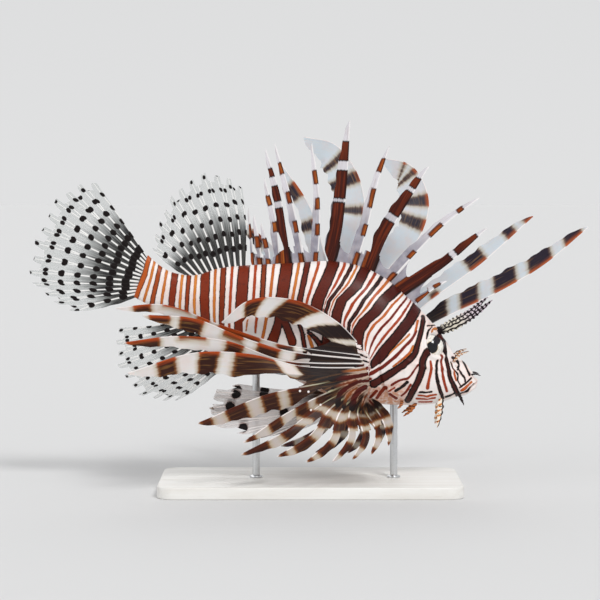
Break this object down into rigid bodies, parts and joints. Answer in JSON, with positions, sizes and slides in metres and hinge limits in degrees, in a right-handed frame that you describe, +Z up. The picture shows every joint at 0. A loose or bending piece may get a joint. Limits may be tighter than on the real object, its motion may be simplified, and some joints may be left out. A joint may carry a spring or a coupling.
{
  "type": "red lionfish model on a stand",
  "caption": "Still, life-size red lionfish with fanned pectoral fins and raised dorsal spines, held level on a plain flat base by two short rods.",
  "frame": {"origin": "middle of the underside of the stand's base", "axes": "+X along the fish from tail to snout, +Z up from the base, so the fish's right side faces -Y"},
  "size_m": [0.3801, 0.144, 0.246],
  "materials": {
    "skin": "painted skin, white with dark red-brown bands, satin",
    "fin": "thin fin membrane, pale with red-brown and black bands and spots, satin",
    "eye": "glossy clear-coated eye, silver iris and black pupil",
    "stand_base": "satin off-white lacquer",
    "stand_rod": "brushed steel"
  },
  "bodies": {
    "root": {"head": "skin", "trunk": "skin", "tail": "skin", "eye_left": "eye", "eye_right": "eye", "brow_tentacle_left": "skin", "brow_tentacle_right": "skin", "dorsal_spines_front": "fin", "dorsal_spines_rear": "fin", "dorsal_fin_soft": "fin", "caudal_fin": "fin", "anal_fin": "fin", "pectoral_fin_left": "fin", "pectoral_fin_right": "fin", "pelvic_fin_left": "fin", "pelvic_fin_right": "fin", "stand_base": "stand_base", "stand_rod_front": "stand_rod", "stand_rod_rear": "stand_rod"}
  },
  "joints": []
}
